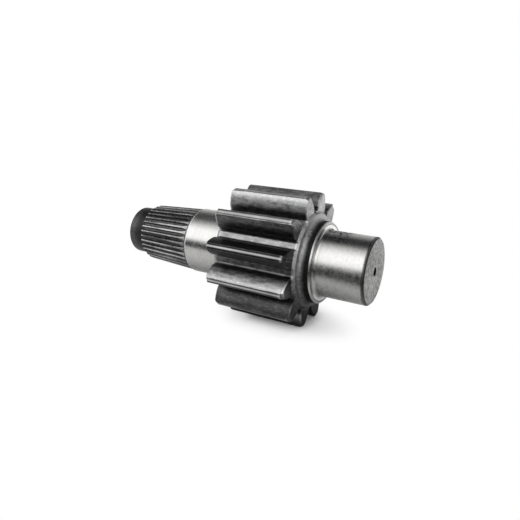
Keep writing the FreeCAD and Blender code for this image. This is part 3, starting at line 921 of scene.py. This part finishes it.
def white_floor(white):
    """A floor that is white to the camera but for the shaft's shadow, and plain paper to the metal."""
    floor = Finish(bpy.data.materials.new("floor_white"))
    to_camera = floor.add("ShaderNodeLightPath")
    coordinates = floor.add("ShaderNodeTexCoord", output=3)
    x = floor.part_of(coordinates, 0)/MM
    y = floor.part_of(coordinates, 1)/MM
    ahead = (Vector(CAMERA_AIM) - Vector(CAMERA_PLACE)).to_2d().normalized()
    distance = x*ahead.x + y*ahead.y
    paper = distance.rising(*PAPER_EDGE)*PAPER_GREY
    paper = paper + distance.rising(*PAPER_FAR)*(PAPER_FAR_GREY - PAPER_GREY)
    mirrored = floor.colour(paper, NO_PAPER, (1.0, 1.0, 1.0))
    seen = floor.colour(to_camera, mirrored, FLOOR_COLOUR)
    matt = floor.add("ShaderNodeBsdfDiffuse", None, {"Color": seen})
    lit = floor.add("ShaderNodeEmission", None, {"Color": (1, 1, 1, 1), "Strength": 1.0})

    before = (TEETH_END - SHADOW_LENGTH - x).combine("MAXIMUM", 0.0)
    beyond = (x - TEETH_END).combine("MAXIMUM", 0.0)
    far = ((before + beyond)*(before + beyond) + y*y).combine("SQRT").rising(*SHADOW_REACH)
    rear, front = CORE_ENDS
    sideways = before*rear + (x - TEETH_END + CORE_MARGIN).combine("MAXIMUM", 0.0)*front
    core = (sideways*sideways + y*y).combine("SQRT").rising(*SHADOW_CORE)
    lifted = far + (1.0 - far)*core*white
    mixed = floor.add("ShaderNodeMixShader", None, {0: to_camera*lifted, 1: matt, 2: lit})
    floor.add("ShaderNodeOutputMaterial", None, {"Surface": mixed})
    return floor.owner


def studio_world(world):
    """White to the camera; to the metal, a room with one broad bright window up in front."""
    studio = Finish(world)
    direction = studio.add("ShaderNodeTexCoord")
    turn = studio.part_of(direction, 2).combine("ARCTAN2", studio.part_of(direction, 1)*-1.0)
    degrees = turn*(180/math.pi)
    place = ((degrees - ROOM_START)/360).combine("FRACT")
    stops = [((angle - ROOM_START)/360, grey) for angle, grey in ROOM]
    room = studio.add("ShaderNodeValToRGB", {"stops": stops}, {0: place})
    to_camera = studio.add("ShaderNodeLightPath")
    around = studio.add("ShaderNodeBackground", None, {"Color": room, "Strength": ROOM_STRENGTH})
    white = studio.add("ShaderNodeBackground", None, {"Color": (1, 1, 1, 1), "Strength": 1.0})
    mixed = studio.add("ShaderNodeMixShader", None, {0: to_camera, 1: around, 2: white})
    studio.add("ShaderNodeOutputWorld", None, {"Surface": mixed})


def place_sky(power):
    """One very broad overhead light for the floor, which the metal doesn't mirror."""
    bpy.ops.object.light_add(type="SUN", location=(0, 0, SKY_HEIGHT*MM), rotation=(*SKY_TILT, 0.0))
    sky = bpy.context.object
    sky.name = "sky_lamp"
    sky.data.energy = power
    sky.data.angle = SKY_WIDTH
    sky.visible_glossy = False


class PINION_OT_stage(bpy.types.Operator):
    """Set up the white floor, the lamp, the world and the camera"""

    bl_idname = "pinion.stage"
    bl_label = "Set up studio"

    def execute(self, context):
        settings = context.scene.pinion_studio
        bpy.ops.object.select_all(action="DESELECT")
        bpy.ops.mesh.primitive_plane_add(size=FLOOR_SIZE*MM, location=(0, 0, 0))
        floor = context.object
        floor.name = "floor"
        floor.data.materials.append(white_floor(settings.floor_white))

        place_sky(settings.sky_power)
        world = context.scene.world or bpy.data.worlds.new("studio")
        context.scene.world = world
        studio_world(world)

        place = Vector(CAMERA_PLACE)*MM
        aim = Vector(CAMERA_AIM)*MM
        turn = (aim - place).to_track_quat("-Z", "Y").to_matrix() @ Matrix.Rotation(CAMERA_ROLL, 3, "Z")
        bpy.ops.object.camera_add(location=place, rotation=turn.to_euler())
        camera = context.object
        camera.name = "camera"
        camera.data.lens = CAMERA_LENS
        camera.data.sensor_fit = "HORIZONTAL"
        camera.data.sensor_width = CAMERA_SENSOR
        camera.data.shift_x, camera.data.shift_y = CAMERA_SHIFT
        camera.data.clip_start = CAMERA_NEAR*MM
        context.scene.camera = camera
        context.scene.view_settings.view_transform = "Standard"
        return {"FINISHED"}


class PINION_PT_panel(bpy.types.Panel):
    """Sizes, colours and steps of the pinion shaft"""

    bl_idname = "PINION_PT_panel"
    bl_label = "Pinion Shaft"
    bl_space_type = "VIEW_3D"
    bl_region_type = "UI"
    bl_category = "Pinion"

    def draw(self, context):
        scene = context.scene
        for group in (scene.pinion_sizes, scene.pinion_colours, scene.pinion_studio):
            box = self.layout.box()
            for name in group.__annotations__:
                box.prop(group, name)
        for step in STEPS:
            self.layout.operator(step.bl_idname)


GROUPS = {"pinion_sizes": PinionSizes, "pinion_colours": PinionColours, "pinion_studio": StudioSettings}
STEPS = (PINION_OT_skin, PINION_OT_stage)


def register():
    """Register the add-on's classes and hang its settings on the scene."""
    for kind in (*GROUPS.values(), *STEPS, PINION_PT_panel):
        bpy.utils.register_class(kind)
    for name, kind in GROUPS.items():
        setattr(bpy.types.Scene, name, bpy.props.PointerProperty(type=kind))


def unregister():
    """Undo what register did, the other way round."""
    for name in GROUPS:
        delattr(bpy.types.Scene, name)
    for kind in (PINION_PT_panel, *reversed(STEPS), *GROUPS.values()):
        bpy.utils.unregister_class(kind)


def main():
    """Draw the shaft and its stage."""
    register()
    bpy.ops.pinion.skin()
    bpy.ops.pinion.stage()


if __name__ == "__main__":
    main()
